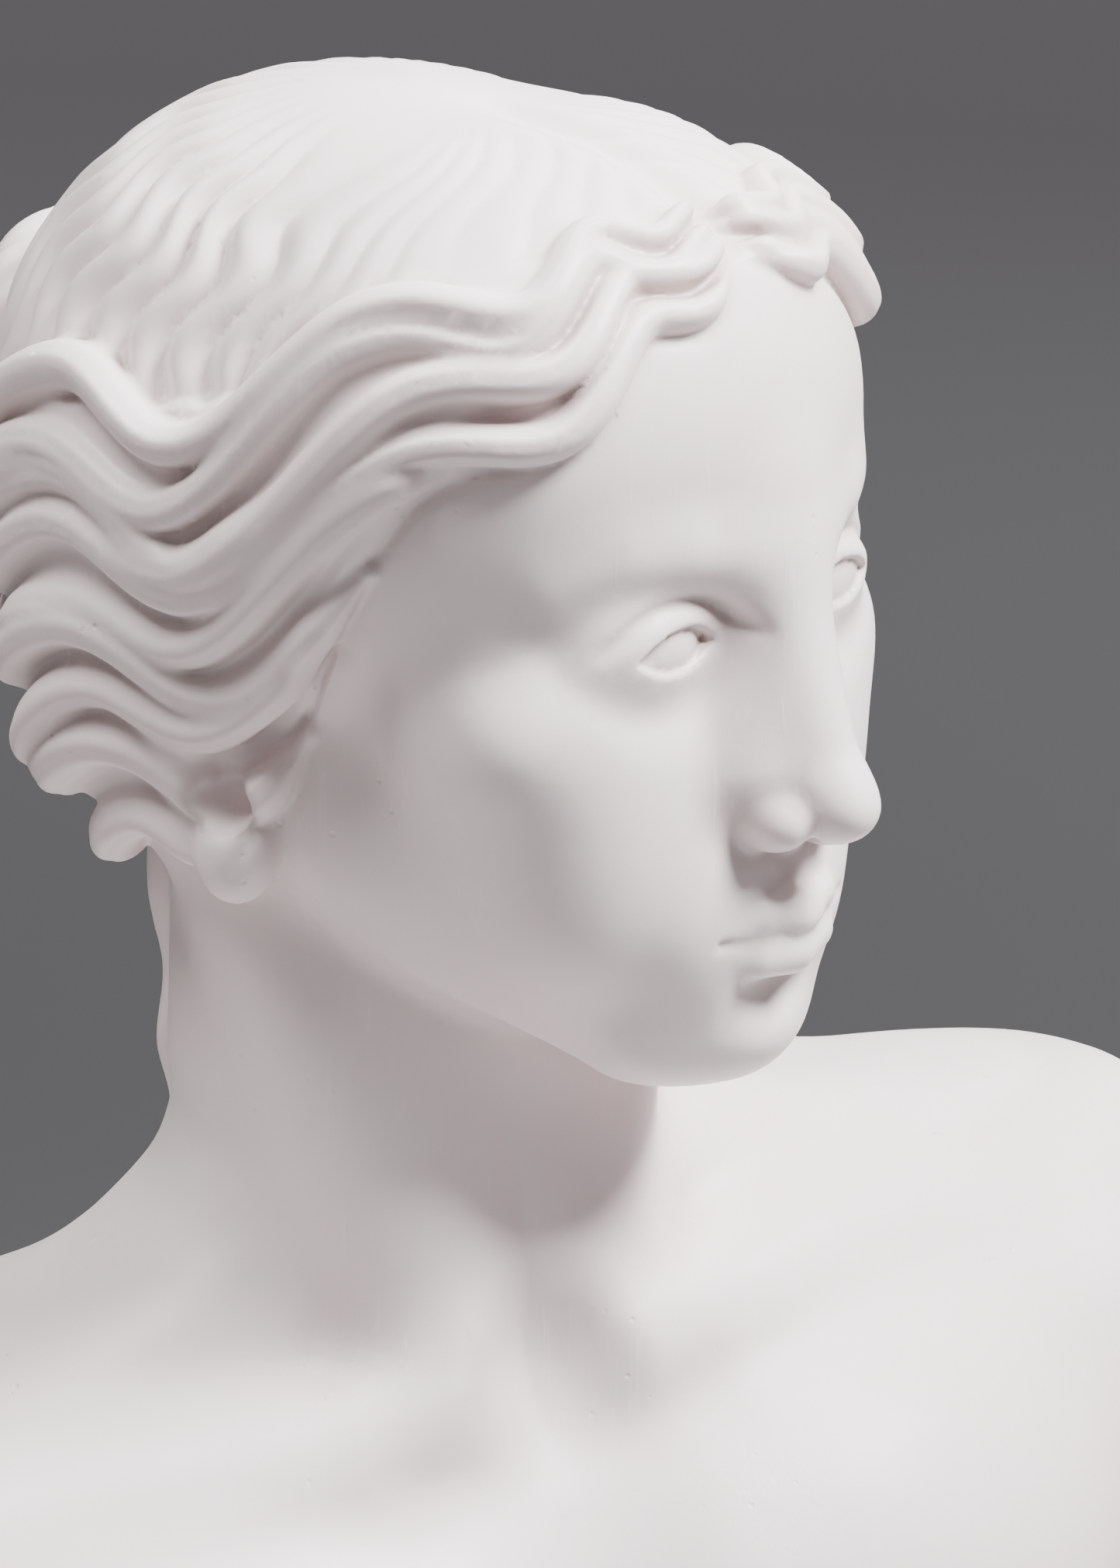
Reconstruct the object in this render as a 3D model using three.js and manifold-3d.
// A tabletop marble bust: a carved head and shoulders on a turned socle and a square plinth, drawn
// together by one tie rod. Millimetres, +Z up, the chest faces -Y and the origin is the middle of
// the felt that the bust stands on.
import * as THREE from "three";
import { mergeVertices } from "three/addons/utils/BufferGeometryUtils.js";
import Module from "manifold-3d";

const wasm = await Module();
wasm.setup();

// ---------------------------------------------------------------- driving dimensions, from the table up
const FELT_THICKNESS = 1.5;
const FELT_INSET = 3; // the felt stops this far inside the plinth's edge
const PLINTH_WIDTH = 112;
const PLINTH_THICKNESS = 18;
const PLINTH_CHAMFER = 2.5;
const BED_THICKNESS = 1; // the cork bed in each stone-to-stone joint
const BED_INSET = 3; // each bed stops this far inside the smaller stone
const SOCLE_HEIGHT = 56;
const SOCLE_FOOT_RADIUS = 46;
const SOCLE_WAIST_RADIUS = 25;
const SOCLE_HEAD_RADIUS = 37;
const SOCLE_FOOT_BAND = 10; // height of the half-round torus at the foot
const SOCLE_HEAD_BAND = 8; // height of the disc that carries the bust
const SOCLE_CHAMFER = 1; // on both edges of that disc
const FILLET = 2.5; // the small flat steps between mouldings

const ROD_RADIUS = 4;
const ROD_BORE_GAP = 1; // the rod passes the stones with this gap all round
const CLEARANCE = 0.3; // gap between metal and the hole it is bonded in
const INSERT_WALL = 2.5;
const INSERT_LENGTH = 24;
const ROD_END_ROOM = 4; // blind hole left past the end of the insert
const NUT_ACROSS_FLATS = 13;
const NUT_HEIGHT = 6.5;
const SPRING_WASHER_WALL = 3;
const SPRING_WASHER_THICKNESS = 2;
const SPRING_WASHER_SPLIT = 1.2;
const PLATE_WASHER_RADIUS = 12;
const PLATE_WASHER_THICKNESS = 2;
const ROD_PROUD = 1.2; // thread showing below the nut
const RECESS_WALL_GAP = 2; // between the plate washer and the side of its recess
const RECESS_ROOM = 0.8; // between the end of the rod and the felt
const PIN_RADIUS = 2;
const PIN_LENGTH = 16;
const PIN_OFFSET = 19; // from the rod's axis to each locating pin
const PIN_END_ROOM = 1;

const SHOULDER_WIDTH = 196;
const SEAT_INSET = 4; // the bust steps in this far from the edge of the socle
const SHOULDER_RISE = 0.15; // the shoulders' slope: the left one is carried higher than the right
const HEAD_HEIGHT = 100; // chin to crown, without the hair
const HEAD_TURN = 22; // degrees that the head looks to its own left
const HEAD_TILT = 2; // degrees that it leans to its own right
const HEAD_NOD = 3; // degrees that it looks down
const HEAD_LEFT = 4; // from the socle's axis to the middle of the head, towards its own left
const HEAD_FORWARD = 8; // and forward
const CHIN_CLEARANCE = 119.5; // from the seat up to the chin
const LOCK_RADIUS = 4.2; // of one lock in the band of hair
const KNOT_RING = 8.5; // from the middle of the knot to the middle of its coil
const KNOT_COIL = 7; // radius of the coil
const TRESS_RADIUS = 4.8; // of the hair that falls from the knot down the nape

// ---------------------------------------------------------------- heights of the stack
const plinthBottom = FELT_THICKNESS;
const plinthTop = plinthBottom + PLINTH_THICKNESS;
const socleBottom = plinthTop + BED_THICKNESS;
const socleTop = socleBottom + SOCLE_HEIGHT;
const seat = socleTop + BED_THICKNESS;
const seatRadius = SOCLE_HEAD_RADIUS - SEAT_INSET;
const boreRadius = ROD_RADIUS + ROD_BORE_GAP;
const insertRadius = ROD_RADIUS + CLEARANCE + INSERT_WALL;
const pinHoleRadius = PIN_RADIUS + CLEARANCE;
const recessRadius = PLATE_WASHER_RADIUS + RECESS_WALL_GAP;
const hardwareStack = PLATE_WASHER_THICKNESS + SPRING_WASHER_THICKNESS + NUT_HEIGHT + ROD_PROUD;
const recessTop = plinthBottom + hardwareStack + RECESS_ROOM;
const washerBottom = recessTop - PLATE_WASHER_THICKNESS;
const springBottom = washerBottom - SPRING_WASHER_THICKNESS;
const nutBottom = springBottom - NUT_HEIGHT;
const rodBottom = nutBottom - ROD_PROUD;
const rodTop = seat + INSERT_LENGTH + ROD_END_ROOM / 2;

// ---------------------------------------------------------------- solids
const ROUND = 36; // sides of a turned stone
const SMALL_ROUND = 20; // sides of a rod, pin or washer

/** A three.js geometry as a solid, moved by a matrix. */
function solid(geometry, matrix = new THREE.Matrix4()) {
  const bare = (geometry.index ? geometry.toNonIndexed() : geometry.clone()).applyMatrix4(matrix);
  bare.deleteAttribute("normal");
  bare.deleteAttribute("uv");
  const merged = mergeVertices(bare, 1e-4);
  const mesh = new wasm.Mesh({
    numProp: 3,
    vertProperties: merged.attributes.position.array,
    triVerts: new Uint32Array(merged.index.array),
  });
  return new wasm.Manifold(mesh);
}

/** A solid back as a three.js geometry. */
function geometryOf(made) {
  const mesh = made.getMesh();
  const geometry = new THREE.BufferGeometry();
  geometry.setAttribute("position", new THREE.BufferAttribute(mesh.vertProperties, 3));
  geometry.setIndex(new THREE.BufferAttribute(mesh.triVerts, 1));
  geometry.computeVertexNormals();
  return geometry;
}

/** The outer body of a solid, with the small voids closed that overlapping locks of hair can trap. */
function withoutVoids(made) {
  const bodies = made.decompose().filter((body) => body.volume() > 0);
  return bodies.reduce((largest, body) => (body.volume() > largest.volume() ? body : largest));
}

/** A closed outline of [radius, height] points turned about the Z axis. */
function turned(outline, sides) {
  const points = outline.map(([r, z]) => new THREE.Vector2(r, z));
  return new THREE.LatheGeometry(points, sides).rotateX(Math.PI / 2);
}

/** A plain rod, disc or hole along Z, centred on [x, y]. */
function rod(radius, bottom, top, x = 0, y = 0, sides = SMALL_ROUND) {
  const geometry = new THREE.CylinderGeometry(radius, radius, top - bottom, sides).rotateX(Math.PI / 2);
  return solid(geometry.translate(x, y, (top + bottom) / 2));
}

/** A flat ring along Z. */
function ring(inner, outer, bottom, top, sides = ROUND) {
  const outline = [[inner, bottom], [outer, bottom], [outer, top], [inner, top], [inner, bottom]];
  return solid(turned(outline, sides));
}

// ---------------------------------------------------------------- base: felt, plinth, beds, socle
function squareSlab(width, bottom, top, chamfer) {
  const half = width / 2 - chamfer;
  const outline = new THREE.Shape([
    new THREE.Vector2(-half, -half),
    new THREE.Vector2(half, -half),
    new THREE.Vector2(half, half),
    new THREE.Vector2(-half, half),
  ]);
  const geometry = new THREE.ExtrudeGeometry(outline, {
    depth: top - bottom - 2 * chamfer,
    bevelEnabled: chamfer > 0,
    bevelThickness: chamfer,
    bevelSize: chamfer,
    bevelSegments: 2,
  });
  return solid(geometry.translate(0, 0, bottom + chamfer));
}

function feltBase() {
  return squareSlab(PLINTH_WIDTH - 2 * FELT_INSET, 0, FELT_THICKNESS, 0);
}

function plinth() {
  const pinBottom = plinthTop + BED_THICKNESS / 2 - PIN_LENGTH / 2 - PIN_END_ROOM;
  return squareSlab(PLINTH_WIDTH, plinthBottom, plinthTop, PLINTH_CHAMFER)
    .subtract(rod(recessRadius, plinthBottom - 1, recessTop, 0, 0, ROUND))
    .subtract(rod(boreRadius, plinthBottom, plinthTop + 1))
    .subtract(rod(pinHoleRadius, pinBottom, plinthTop + 1, -PIN_OFFSET - pinHoleRadius, 0));
}

function bed(radius, bottom, pinX) {
  return ring(boreRadius, radius - BED_INSET, bottom, bottom + BED_THICKNESS)
    .subtract(rod(pinHoleRadius, bottom - 1, bottom + BED_THICKNESS + 1, pinX, 0));
}

/** The socle's outline: torus foot, fillet, hollow waist, fillet and head disc. */
function socleOutline() {
  const torus = SOCLE_FOOT_BAND / 2;
  const headBottom = socleTop - SOCLE_HEAD_BAND;
  const waistBottom = socleBottom + SOCLE_FOOT_BAND + FILLET;
  const waistTop = headBottom - FILLET;
  const waistHeight = waistTop - waistBottom;
  const path = new THREE.Path();
  path.moveTo(boreRadius, socleBottom);
  path.lineTo(SOCLE_FOOT_RADIUS - torus, socleBottom);
  path.absarc(SOCLE_FOOT_RADIUS - torus, socleBottom + torus, torus, -Math.PI / 2, Math.PI / 2, false);
  path.lineTo(SOCLE_FOOT_RADIUS - torus - FILLET / 2, waistBottom - FILLET);
  path.lineTo(SOCLE_FOOT_RADIUS - torus - FILLET / 2, waistBottom);
  path.bezierCurveTo(
    SOCLE_WAIST_RADIUS, waistBottom + waistHeight * 0.1,
    SOCLE_WAIST_RADIUS - 2, waistBottom + waistHeight * 0.8,
    SOCLE_HEAD_RADIUS - 2 * FILLET, waistTop,
  );
  path.lineTo(SOCLE_HEAD_RADIUS - FILLET, waistTop);
  path.lineTo(SOCLE_HEAD_RADIUS - FILLET, headBottom);
  path.lineTo(SOCLE_HEAD_RADIUS - SOCLE_CHAMFER, headBottom);
  path.lineTo(SOCLE_HEAD_RADIUS, headBottom + SOCLE_CHAMFER);
  path.lineTo(SOCLE_HEAD_RADIUS, socleTop - SOCLE_CHAMFER);
  path.lineTo(SOCLE_HEAD_RADIUS - SOCLE_CHAMFER, socleTop);
  path.lineTo(boreRadius, socleTop);
  path.lineTo(boreRadius, socleBottom);
  return path.getPoints(4).map((p) => [p.x, p.y]);
}

function socle() {
  const half = PIN_LENGTH / 2 - BED_THICKNESS / 2 + PIN_END_ROOM;
  return solid(turned(socleOutline(), ROUND))
    .subtract(rod(pinHoleRadius, socleBottom - 1, socleBottom + half, -PIN_OFFSET - pinHoleRadius, 0))
    .subtract(rod(pinHoleRadius, socleTop - half, socleTop + 1, PIN_OFFSET, 0));
}

// ---------------------------------------------------------------- hardware
function springWasher() {
  const outer = ROD_RADIUS + CLEARANCE + SPRING_WASHER_WALL;
  const split = new THREE.BoxGeometry(outer * 2, SPRING_WASHER_SPLIT, SPRING_WASHER_THICKNESS * 3);
  split.translate(outer, 0, springBottom);
  return ring(ROD_RADIUS + CLEARANCE, outer, springBottom, washerBottom, SMALL_ROUND).subtract(solid(split));
}

function hexNut() {
  const corner = NUT_ACROSS_FLATS / Math.sqrt(3);
  return rod(corner, nutBottom, springBottom, 0, 0, 6).subtract(
    rod(ROD_RADIUS + CLEARANCE, nutBottom - 1, springBottom + 1),
  );
}

function locatingPin(jointBottom, x) {
  const middle = jointBottom + BED_THICKNESS / 2;
  return rod(PIN_RADIUS, middle - PIN_LENGTH / 2, middle + PIN_LENGTH / 2, x, 0, 16);
}

// ---------------------------------------------------------------- blended forms, for the head
const smoothstep = (t) => t * t * (3 - 2 * t);
const between = (t, low, high) => Math.min(1, Math.max(0, (t - low) / (high - low)));

/** The smaller of two distances, rounded over where they are within k of each other. */
function softMin(a, b, k) {
  const h = Math.max(k - Math.abs(a - b), 0) / k; // 0 where they are further apart
  return Math.min(a, b) - (h * h * k) / 4;
}

/** Distance to an ellipsoid, near enough close to its surface. */
function ellipsoid([cx, cy, cz], [rx, ry, rz]) {
  return ([x, y, z]) => {
    const [px, py, pz] = [(x - cx) / rx, (y - cy) / ry, (z - cz) / rz];
    const outer = Math.hypot(px, py, pz);
    return (outer * (outer - 1)) / Math.max(Math.hypot(px / rx, py / ry, pz / rz), 1e-9);
  };
}

/** Distance to a rod with round ends that tapers from ra at a to rb at b. */
function taperedRod(a, b, ra, rb) {
  const along = b.map((v, i) => v - a[i]);
  const length = Math.hypot(...along);
  return (p) => {
    const from = p.map((v, i) => v - a[i]);
    const t = between(from.reduce((sum, v, i) => sum + v * along[i], 0) / length ** 2, 0, 1);
    return Math.hypot(...from.map((v, i) => v - along[i] * t)) - (ra + (rb - ra) * t);
  };
}

/** Both halves of a face: the form at +x and its mirror image. */
const mirrored = (form) => ([x, y, z]) => form([Math.abs(x), y, z]);

// The head is written for a chin-to-crown height of 100, its middle at 0, face to -Y.
const HEAD_FORMS = [
  // form, blend radius
  [ellipsoid([0, 6, 11], [35.5, 41, 35]), 1], // cranium
  [ellipsoid([0, -13, 17], [29.5, 27, 27]), 8], // forehead
  [ellipsoid([0, -14.5, -12], [28, 25.5, 31]), 8], // middle of the face
  [mirrored(taperedRod([23, 4, -24], [7, -30, -42], 8, 7.5)), 9], // jaw
  [ellipsoid([0, -32, -41.5], [10, 8.6, 8.5]), 7], // chin
  [mirrored(ellipsoid([19, -24.5, -10], [11, 9.5, 10])), 9], // cheekbones
  [mirrored(ellipsoid([13.5, -26, -25], [11, 10.5, 12])), 9], // cheeks
  [mirrored(taperedRod([6, -37, 8], [19, -32, 8], 3.6, 3.2)), 6], // brows
  [taperedRod([0, -37.4, 9], [0, -45.2, -16.6], 3.8, 4.2), 5], // bridge and tip of the nose
  [mirrored(ellipsoid([4.2, -39.8, -18], [3.2, 4.2, 3.6])), 4], // nostril wings
  [ellipsoid([0, -35, -30], [13, 8, 11]), 7], // round of the mouth
  [ellipsoid([0, 10, 9], [37, 44.5, 38.4]), 2], // hair over the crown
  [mirrored(ellipsoid([13, -6, 15], [21, 28, 28.6])), 4], // on either side of the parting
  [mirrored(ellipsoid([19, 16, -12], [16.5, 22, 22])), 8], // behind the ears
];
const EYE_SOCKET = mirrored(ellipsoid([14, -43, 0], [9.5, 6.5, 5.6]));
const SOCKET_BLEND = 6;
const FACE_FORMS = [
  [mirrored(ellipsoid([13, -31.6, 0], [7, 5.8, 4])), 1.5], // closed round of each eye
  [mirrored(taperedRod([1.4, -42.2, -29.2], [7.6, -39.4, -31], 2, 1.2)), 1.5], // upper lip
  [mirrored(taperedRod([0, -41.6, -34], [6.4, -39.2, -32.8], 2.3, 1.3)), 1.5], // lower lip
];

const joinForms = (forms, p, first) => forms.reduce((d, [form, k]) => softMin(d, form(p), k), first);

function headDistance(p) {
  const full = joinForms(HEAD_FORMS, p, Infinity);
  return joinForms(FACE_FORMS, p, -softMin(-full, EYE_SOCKET(p), SOCKET_BLEND));
}

/** A unit sphere with its poles fore and aft, and most of its rows on the face. */
function faceSphere(columns, rows, faceAngle = Math.PI / 3.6, faceShare = 0.6) {
  const geometry = new THREE.SphereGeometry(1, columns, rows);
  const at = geometry.attributes.position;
  for (let i = 0; i < at.count; i++) {
    const row = Math.acos(-at.getY(i)) / Math.PI; // 0 at the face, 1 at the back of the head
    const backRow = (row - faceShare) / (1 - faceShare);
    const angle = backRow < 0 ? (row / faceShare) * faceAngle : faceAngle + backRow * (Math.PI - faceAngle);
    const [x, z] = [at.getX(i), at.getZ(i)];
    const round = Math.sin(angle) / Math.max(Math.hypot(x, z), 1e-9);
    at.setXYZ(i, x * round, -Math.cos(angle), z * round);
  }
  return geometry;
}

/** Pushes each vertex of a unit sphere out along its own ray to the surface of the blended forms. */
function carved(geometry, distance, farthest = 70) {
  const at = geometry.attributes.position;
  for (let i = 0; i < at.count; i++) {
    const ray = [at.getX(i), at.getY(i), at.getZ(i)];
    let inside = 0;
    let outside = farthest;
    while (outside - inside > 1e-4) {
      const middle = (inside + outside) / 2;
      if (distance(ray.map((v) => v * middle)) < 0) inside = middle;
      else outside = middle;
    }
    at.setXYZ(i, ...ray.map((v) => v * inside));
  }
  return geometry;
}

// ---------------------------------------------------------------- hair
const radians = THREE.MathUtils.degToRad;

/** A point on the mass of hair, from its turn away from the face and its angle down from the crown. */
function hairSurface(turn, down, lift = 0) {
  const high = Math.cos(radians(down));
  const reach = down < 90 ? Math.sin(radians(down)) : Math.sqrt(Math.sin(radians(down)));
  return new THREE.Vector3(
    (38 + lift) * reach * Math.sin(radians(turn)),
    6 - (49 + lift) * reach * Math.cos(radians(turn)),
    8 + (high > 0 ? 40.5 + lift : 51 + lift) * high,
  );
}

// The band of waves round the face: [turn, down] along its lower and its upper edge.
const HAIRLINE = [
  [2, 56], [20, 61], [38, 69], [52, 82], [62, 98], [71, 116], [84, 129], [104, 139], [130, 141], [158, 136],
];
const BAND_TOP = [
  [2, 49], [15, 48.5], [32, 49], [52, 52], [72, 60], [90, 69], [104, 71], [120, 73], [140, 79], [165, 92],
];
const KNOT_PLACE = [57, 11]; // how far back and how high the middle of the knot is
const TRESS = [[0, 46, -2], [-1, 37, -28], [-5, 31, -44], [-4, 28, -62]]; // from the knot down the nape
const WAVE_COUNT = 4.5;
const WAVE_ANGLE = 2.6; // degrees that a lock swings to each side

/** The centre line of one lock of the band, from the parting back to the knot. */
function lockPath(share, side) {
  const steps = 20;
  const edge = (ends) => {
    return new THREE.CatmullRomCurve3(ends.map(([turn, down]) => new THREE.Vector3(turn, down, 0)));
  };
  const [low, high] = [edge(HAIRLINE), edge(BAND_TOP)];
  const points = [];
  for (let i = 0; i <= steps; i++) {
    const t = i / steps;
    const at = low.getPoint(t).lerp(high.getPoint(t), share);
    const swing = WAVE_ANGLE * Math.sin(2 * Math.PI * WAVE_COUNT * t) * smoothstep(between(t, 0, 0.2));
    points.push(hairSurface(side * at.x, at.y + swing));
  }
  return new THREE.CatmullRomCurve3(points);
}

/** A round rope along a path, tapering to a point at both ends. */
function rope(path, radius, steps, taper = 0.15, sides = 6) {
  const blank = new THREE.LatheGeometry(
    Array.from({ length: steps + 1 }, (_, i) => new THREE.Vector2(i % steps === 0 ? 0 : 1, i)),
    sides,
  );
  const frames = path.computeFrenetFrames(steps);
  const at = blank.attributes.position;
  for (let i = 0; i < at.count; i++) {
    const level = Math.round(at.getY(i));
    const t = level / steps;
    const reach = radius * Math.sqrt(between(Math.min(t, 1 - t), 0, taper));
    const point = path.getPointAt(t);
    point.addScaledVector(frames.normals[level], at.getX(i) * reach);
    point.addScaledVector(frames.binormals[level], -at.getZ(i) * reach);
    at.setXYZ(i, point.x, point.y, point.z);
  }
  return solid(blank);
}

function hair() {
  const [knotBack, knotHeight] = KNOT_PLACE;
  const core = new THREE.SphereGeometry(KNOT_RING + 1.5, 16, 10);
  let made = solid(core.translate(0, knotBack - KNOT_COIL / 2, knotHeight));
  for (const side of [-1, 1]) {
    for (const share of [0.06, 0.35, 0.64, 0.92]) {
      made = made.add(rope(lockPath(share, side), LOCK_RADIUS, 20));
    }
  }
  const knot = new THREE.TorusGeometry(KNOT_RING, KNOT_COIL, 10, 18).rotateX(radians(75));
  const tress = new THREE.CatmullRomCurve3(TRESS.map((point) => new THREE.Vector3(...point)));
  return made.add(solid(knot.translate(0, knotBack, knotHeight))).add(rope(tress, TRESS_RADIUS, 10));
}

// ---------------------------------------------------------------- chest and neck
// [height above the seat, half width, front, back] of each level ring, from the seat up into the head.
const SHOULDER = SHOULDER_WIDTH / 2;
const TORSO = [
  [0, 0, 0, 0],
  [0, seatRadius, seatRadius, seatRadius],
  [5, seatRadius + 3, 34, 34],
  [14, SHOULDER - 50, 40, 38],
  [26, SHOULDER - 32, 46, 41],
  [39, SHOULDER - 14, 49, 42],
  [52, SHOULDER - 3, 48, 41],
  [65, SHOULDER, 43, 38],
  [75, SHOULDER - 2, 37, 35],
  [81.5, SHOULDER - 8, 32, 32],
  [86.5, SHOULDER - 20, 28, 30],
  [90.5, SHOULDER - 41, 26, 29],
  [96.5, 40, 24.5, 28],
  [101.5, 31, 23.5, 27],
  [108, 26, 22.5, 26],
  [118, 24.5, 22, 25],
  [CHIN_CLEARANCE + 20, 23.5, 20, 24],
  [CHIN_CLEARANCE + 34, 18, 12, 18],
  [CHIN_CLEARANCE + 34, 0, 0, 0],
];

/** Rings of rounded outline, closed at both ends on the axis. */
function torso() {
  const sides = 32;
  const blank = new THREE.LatheGeometry(
    TORSO.map(([height, width], i) => new THREE.Vector2(width > 0 ? 1 : 0, i)),
    sides,
  ).rotateX(Math.PI / 2);
  const at = blank.attributes.position;
  for (let i = 0; i < at.count; i++) {
    const [height, width, front, back] = TORSO[Math.round(at.getZ(i))];
    const square = 1 + 0.1 * between(height, 5, 40) * (1 - between(height, 70, 90));
    const x = at.getX(i);
    const y = at.getY(i);
    const power = 2 * square;
    const bulge = Math.hypot(x, y) > 0 ? (Math.abs(x) ** power + Math.abs(y) ** power) ** (-1 / power) : 0;
    const wide = x * width * bulge;
    const lean = SHOULDER_RISE * wide * smoothstep(between(height, 15, 84));
    at.setXYZ(i, wide, y * (y < 0 ? front : back) * bulge, height + lean);
  }
  return solid(blank);
}

/** Head and shoulders in one block, with the blind holes for the insert and for its locating pin. */
function bust() {
  const carriage = new THREE.Euler(radians(HEAD_NOD), radians(-HEAD_TILT), radians(HEAD_TURN), "ZYX");
  const headMatrix = new THREE.Matrix4().compose(
    new THREE.Vector3(HEAD_LEFT, -HEAD_FORWARD, CHIN_CLEARANCE + HEAD_HEIGHT / 2),
    new THREE.Quaternion().setFromEuler(carriage),
    new THREE.Vector3(1, 1, 1).multiplyScalar(HEAD_HEIGHT / 100),
  );
  const head = solid(carved(faceSphere(56, 44), headDistance)).add(hair());
  const block = withoutVoids(torso().add(solid(geometryOf(head), headMatrix)));
  const carving = solid(geometryOf(block), new THREE.Matrix4().makeTranslation(0, 0, seat));
  const pinDepth = PIN_LENGTH / 2 - BED_THICKNESS / 2 + PIN_END_ROOM;
  return carving
    .subtract(rod(insertRadius + CLEARANCE, seat - 1, seat + INSERT_LENGTH + ROD_END_ROOM))
    .subtract(rod(pinHoleRadius, seat - 1, seat + pinDepth, PIN_OFFSET, 0, 16));
}

// ---------------------------------------------------------------- assembly
const marble = new THREE.MeshStandardMaterial({ color: 0xece7e4, roughness: 0.5, metalness: 0 });
const cork = new THREE.MeshStandardMaterial({ color: 0x8a6b4a, roughness: 0.9, metalness: 0 });
const felt = new THREE.MeshStandardMaterial({ color: 0x2b3a30, roughness: 1, metalness: 0 });
const steel = new THREE.MeshStandardMaterial({ color: 0xb8bcc0, roughness: 0.35, metalness: 1 });
const brass = new THREE.MeshStandardMaterial({ color: 0xc9a457, roughness: 0.3, metalness: 1 });

const assembly = new THREE.Group();

function place(name, made, material) {
  const mesh = new THREE.Mesh(geometryOf(made), material);
  mesh.name = name;
  assembly.add(mesh);
}

place("felt_base", feltBase(), felt);
place("plinth", plinth(), marble);
const plinthBedRadius = SOCLE_FOOT_RADIUS - SOCLE_FOOT_BAND / 2;
place("plinth_bed", bed(plinthBedRadius, plinthTop, -PIN_OFFSET - pinHoleRadius), cork);
place("socle", socle(), marble);
place("bust_bed", bed(seatRadius, socleTop, PIN_OFFSET), cork);
place("bust", bust(), marble);
const boltHole = ROD_RADIUS + CLEARANCE;
place("threaded_insert", ring(boltHole, insertRadius, seat, seat + INSERT_LENGTH, SMALL_ROUND), brass);
place("tie_rod", rod(ROD_RADIUS, rodBottom, rodTop), steel);
place("plate_washer", ring(boltHole, PLATE_WASHER_RADIUS, washerBottom, recessTop), steel);
place("spring_washer", springWasher(), steel);
place("hex_nut", hexNut(), steel);
place("socle_pin", locatingPin(plinthTop, -PIN_OFFSET - pinHoleRadius), steel);
place("bust_pin", locatingPin(socleTop, PIN_OFFSET), steel);

export default assembly;
